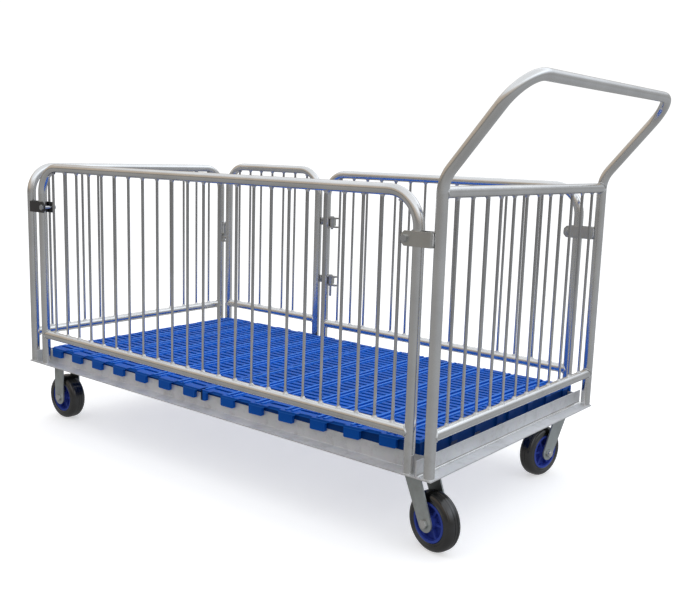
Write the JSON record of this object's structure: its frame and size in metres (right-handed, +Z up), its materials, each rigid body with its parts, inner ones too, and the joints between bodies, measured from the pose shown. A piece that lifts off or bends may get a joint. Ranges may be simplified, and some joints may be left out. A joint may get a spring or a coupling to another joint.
{
  "type": "piglet transfer cart",
  "caption": "Barred livestock transfer cart with a slatted plastic floor, a side gate with drop-pin latch, a push handle, and fixed and swivel casters.",
  "frame": {"origin": "on the ground, under the middle of the overall length and width", "axes": "+X along the bed to the push handle, +Y to the side with the gate, +Z up"},
  "size_m": [1.473, 0.7212, 0.904],
  "materials": {
    "tube_steel": "satin galvanised",
    "rod_steel": "satin galvanised",
    "base_steel": "dull galvanised",
    "zinc_plate": "zinc plated",
    "zinc_fasteners": "bright zinc",
    "floor_plastic": "moulded",
    "hub_plastic": "moulded",
    "tyre_rubber": "moulded rubber"
  },
  "bodies": {
    "frame": {"base_rail_near": "base_steel", "base_rail_far": "base_steel", "base_rail_left": "base_steel", "base_rail_handle_end": "base_steel", "caster_corner_plates": "base_steel", "floor_cross_bars": "base_steel", "floor_panel_left": "floor_plastic", "floor_panel_handle_end": "floor_plastic", "front_hoop": "tube_steel", "front_lower_rail": "tube_steel", "front_bars": "rod_steel", "left_end_hoop": "tube_steel", "left_end_lower_rail": "tube_steel", "left_end_bars": "rod_steel", "push_handle": "tube_steel", "handle_end_top_rail": "tube_steel", "handle_end_lower_rail": "tube_steel", "handle_end_bars": "rod_steel", "back_hoop": "tube_steel", "back_lower_rail": "tube_steel", "back_bars": "rod_steel", "corner_clip_near_left": "zinc_plate", "corner_clip_near_right": "zinc_plate", "corner_clip_far_right": "zinc_plate", "corner_clip_bolts": "zinc_fasteners", "corner_clip_nuts": "zinc_fasteners", "gate_hinge_brackets": "zinc_plate", "gate_hinge_pins": "zinc_fasteners", "latch_keeper": "zinc_plate", "fixed_fork_near": "zinc_plate", "fixed_fork_far": "zinc_plate", "fixed_axles": "zinc_fasteners", "fixed_axle_sleeves": "zinc_fasteners", "swivel_plates": "zinc_plate", "swivel_kingpins": "zinc_fasteners", "swivel_bearing_balls": "zinc_fasteners", "caster_bolts": "zinc_fasteners", "caster_nuts": "zinc_fasteners"},
    "gate": {"gate_hoop": "tube_steel", "gate_lower_rail": "tube_steel", "gate_bars": "rod_steel", "gate_hinge_arms": "zinc_plate", "gate_latch_tab": "zinc_plate"},
    "latch_pin": {"latch_pin": "zinc_fasteners"},
    "swivel_near": {"swivel_fork_near": "zinc_plate", "swivel_axle_near": "zinc_fasteners", "swivel_axle_sleeve_near": "zinc_fasteners"},
    "swivel_wheel_near": {"swivel_hub_near": "hub_plastic", "swivel_tyre_near": "tyre_rubber"},
    "fixed_wheel_near": {"fixed_hub_near": "hub_plastic", "fixed_tyre_near": "tyre_rubber"},
    "swivel_far": {"swivel_fork_far": "zinc_plate", "swivel_axle_far": "zinc_fasteners", "swivel_axle_sleeve_far": "zinc_fasteners"},
    "swivel_wheel_far": {"swivel_hub_far": "hub_plastic", "swivel_tyre_far": "tyre_rubber"},
    "fixed_wheel_far": {"fixed_hub_far": "hub_plastic", "fixed_tyre_far": "tyre_rubber"}
  },
  "joints": [
    {"name": "gate_swing", "type": "hinge", "parent": "frame", "child": "gate", "pos_m": [-0.2465, 0.341, 0.463], "axis": [0, 0, -1], "range_deg": [0, 120]},
    {"name": "latch_drop", "type": "slide", "parent": "frame", "child": "latch_pin", "axis": [0, 0, -1], "range_m": [0, 0.024]},
    {"name": "swivel_turn_near", "type": "hinge", "parent": "frame", "child": "swivel_near", "pos_m": [0.5195, -0.277, 0.145], "axis": [0, 0, 1], "continuous": true},
    {"name": "swivel_wheel_spin_near", "type": "hinge", "parent": "swivel_near", "child": "swivel_wheel_near", "pos_m": [0.55667, -0.2849, 0.06], "axis": [0.2079, 0.9781, 0], "continuous": true},
    {"name": "swivel_turn_far", "type": "hinge", "parent": "frame", "child": "swivel_far", "pos_m": [0.5195, 0.277, 0.145], "axis": [0, 0, 1], "continuous": true},
    {"name": "swivel_wheel_spin_far", "type": "hinge", "parent": "swivel_far", "child": "swivel_wheel_far", "pos_m": [0.51225, 0.2397, 0.06], "axis": [0.9816, -0.1908, 0], "continuous": true},
    {"name": "fixed_wheel_spin_near", "type": "hinge", "parent": "frame", "child": "fixed_wheel_near", "pos_m": [-0.6765, -0.277, 0.06], "axis": [0, 1, 0], "continuous": true},
    {"name": "fixed_wheel_spin_far", "type": "hinge", "parent": "frame", "child": "fixed_wheel_far", "pos_m": [-0.6765, 0.277, 0.06], "axis": [0, 1, 0], "continuous": true}
  ]
}
